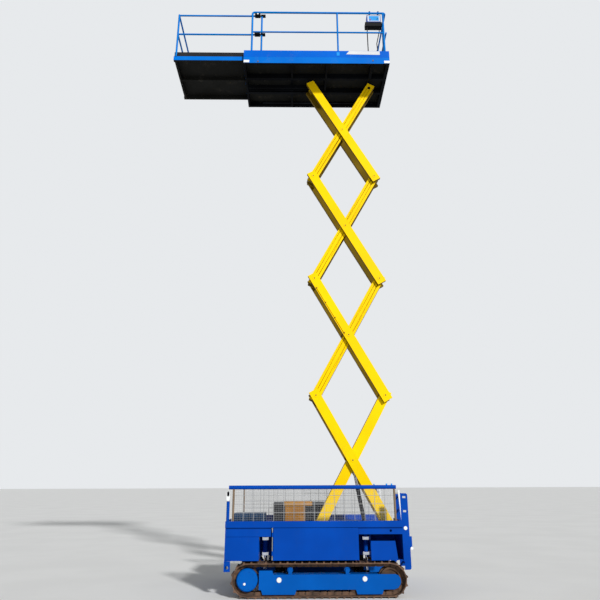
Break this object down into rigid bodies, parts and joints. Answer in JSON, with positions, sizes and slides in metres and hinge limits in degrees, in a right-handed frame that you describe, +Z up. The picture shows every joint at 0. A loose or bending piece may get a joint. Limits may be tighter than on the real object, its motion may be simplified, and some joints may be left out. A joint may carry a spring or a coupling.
{
  "type": "tracked scissor lift",
  "caption": "Tracked scissor lift with a narrow stack of crossed arms, a railed work platform and a sliding deck extension",
  "frame": {"origin": "on the ground under the middle of the machine's outline", "axes": "+X along the machine towards the ladder and the platform gate, +Y across it, +Z up"},
  "size_m": [4.33, 1.95, 10.81],
  "materials": {
    "blue": "semi-gloss paint",
    "dark_steel": "satin",
    "control_blue": "semi-gloss paint",
    "black_plastic": "matt",
    "lamp_white": "glossy",
    "tread_plate": "matt, rough",
    "bare_steel": "satin",
    "engine_grey": "satin",
    "rail_blue": "semi-gloss paint",
    "tan_steel": "weathered paint",
    "rust_steel": "dirty paint",
    "yellow": "semi-gloss paint",
    "rod_chrome": "polished",
    "ochre": "weathered paint",
    "track_steel": "worn and rusty",
    "dark_blue": "semi-gloss paint"
  },
  "bodies": {
    "chassis": {"base_brackets": "blue", "base_rails": "dark_steel", "chassis_frame": "blue", "cross_beams": "dark_steel", "door_pins": "bare_steel", "engine": "engine_grey", "guard_far": "tan_steel", "guard_near": "tan_steel", "idler_far": "rust_steel", "idler_near": "rust_steel", "ladder": "blue", "lamp_post": "blue", "level_barrels": "bare_steel", "level_rods": "rod_chrome", "lid_hinge": "bare_steel", "oil_tank": "dark_steel", "power_pack": "dark_steel", "rollers_far": "rust_steel", "rollers_near": "rust_steel", "side_panels_far": "blue", "side_panels_near": "blue", "sprocket_far": "blue", "sprocket_near": "blue", "store_box": "ochre", "tie_lugs": "dark_steel", "track_far": "track_steel", "track_frame_far": "blue", "track_frame_near": "blue", "track_near": "track_steel", "valve_chest": "dark_blue", "work_lamp": "lamp_white"},
    "outer_1": {"outer_arm_1": "yellow"},
    "outer_2": {"outer_arm_2": "yellow"},
    "outer_3": {"outer_arm_3": "yellow"},
    "outer_4": {"outer_arm_4": "yellow"},
    "inner_1": {"inner_arm_1": "yellow"},
    "inner_2": {"inner_arm_2": "yellow"},
    "inner_3": {"inner_arm_3": "yellow"},
    "inner_4": {"inner_arm_4": "yellow"},
    "lift_barrel": {"lift_barrel": "dark_steel"},
    "lift_rod": {"lift_rod": "rod_chrome"},
    "platform": {"platform_frame": "blue", "deck_floor": "tread_plate", "toe_boards": "blue", "main_rails_near": "rail_blue", "main_rails_far": "rail_blue", "slider_blocks": "black_plastic", "platform_slides": "dark_steel", "top_brackets": "blue", "control_box": "control_blue", "control_cable": "black_plastic", "corner_lamps": "lamp_white"},
    "extension": {"extension_deck": "blue", "extension_rails": "rail_blue"},
    "gate": {"gate": "rail_blue"},
    "door_near": {"door_near": "blue"},
    "door_far": {"door_far": "blue"},
    "store_lid": {"store_lid": "ochre"}
  },
  "joints": [
    {"name": "base_pivot", "type": "hinge", "parent": "chassis", "child": "outer_1", "pos_m": [1.818, 0, 0.83], "axis": [0, -1, 0], "range_deg": [0, 56.29]},
    {"name": "cross_1", "type": "hinge", "parent": "outer_1", "child": "inner_1", "pos_m": [1.2237, 0, 1.89661], "axis": [0, 1, 0], "range_deg": [0, 112.57]},
    {"name": "elbow_1", "type": "hinge", "parent": "inner_1", "child": "outer_2", "pos_m": [1.818, 0, 2.96321], "axis": [0, -1, 0], "range_deg": [0, 112.57]},
    {"name": "cross_2", "type": "hinge", "parent": "outer_2", "child": "inner_2", "pos_m": [1.2237, 0, 4.02982], "axis": [0, 1, 0], "range_deg": [0, 112.57]},
    {"name": "elbow_2", "type": "hinge", "parent": "inner_2", "child": "outer_3", "pos_m": [1.818, 0, 5.09642], "axis": [0, -1, 0], "range_deg": [0, 112.57]},
    {"name": "cross_3", "type": "hinge", "parent": "outer_3", "child": "inner_3", "pos_m": [1.2237, 0, 6.16303], "axis": [0, 1, 0], "range_deg": [0, 112.57]},
    {"name": "elbow_3", "type": "hinge", "parent": "inner_3", "child": "outer_4", "pos_m": [1.818, 0, 7.22964], "axis": [0, -1, 0], "range_deg": [0, 112.57]},
    {"name": "cross_4", "type": "hinge", "parent": "outer_4", "child": "inner_4", "pos_m": [1.2237, 0, 8.29624], "axis": [0, 1, 0], "range_deg": [0, 112.57]},
    {"name": "lift", "type": "hinge", "parent": "inner_4", "child": "platform", "pos_m": [1.818, 0, 9.36285], "axis": [0, -1, 0], "range_deg": [0, 56.27]},
    {"name": "cylinder_pivot", "type": "hinge", "parent": "chassis", "child": "lift_barrel", "pos_m": [1.43, 0, 0.77], "axis": [0, -1, 0], "range_deg": [0, 68.86]},
    {"name": "cylinder_stroke", "type": "slide", "parent": "lift_barrel", "child": "lift_rod", "axis": [-0.1801, 0, 0.9836], "range_m": [-0.30157, 0]},
    {"name": "extension_slide", "type": "slide", "parent": "platform", "child": "extension", "axis": [1, 0, 0], "range_m": [0, 1.385]},
    {"name": "gate_swing", "type": "hinge", "parent": "platform", "child": "gate", "pos_m": [2.135, 0.35, 10.2], "axis": [0, 0, -1], "range_deg": [0, 95]},
    {"name": "door_near_swing", "type": "hinge", "parent": "chassis", "child": "door_near", "pos_m": [-0.057, -0.962, 0.7], "axis": [0, 0, -1], "range_deg": [0, 100]},
    {"name": "door_far_swing", "type": "hinge", "parent": "chassis", "child": "door_far", "pos_m": [-0.057, 0.962, 0.7], "axis": [0, 0, 1], "range_deg": [0, 100]},
    {"name": "store_lid_swing", "type": "hinge", "parent": "chassis", "child": "store_lid", "pos_m": [0.263, -0.308, 1.227], "axis": [-1, 0, 0], "range_deg": [0, 90]}
  ],
  "couplings": [
    {"joint": "base_pivot", "follows": "lift", "ratio": 1},
    {"joint": "cross_1", "follows": "lift", "ratio": 2},
    {"joint": "elbow_1", "follows": "lift", "ratio": 2},
    {"joint": "cross_2", "follows": "lift", "ratio": 2},
    {"joint": "elbow_2", "follows": "lift", "ratio": 2},
    {"joint": "cross_3", "follows": "lift", "ratio": 2},
    {"joint": "elbow_3", "follows": "lift", "ratio": 2},
    {"joint": "cross_4", "follows": "lift", "ratio": 2},
    {"joint": "cylinder_pivot", "follows": "lift", "ratio": 1.2233},
    {"joint": "cylinder_stroke", "follows": "lift", "m_per_rad": -0.30684}
  ]
}
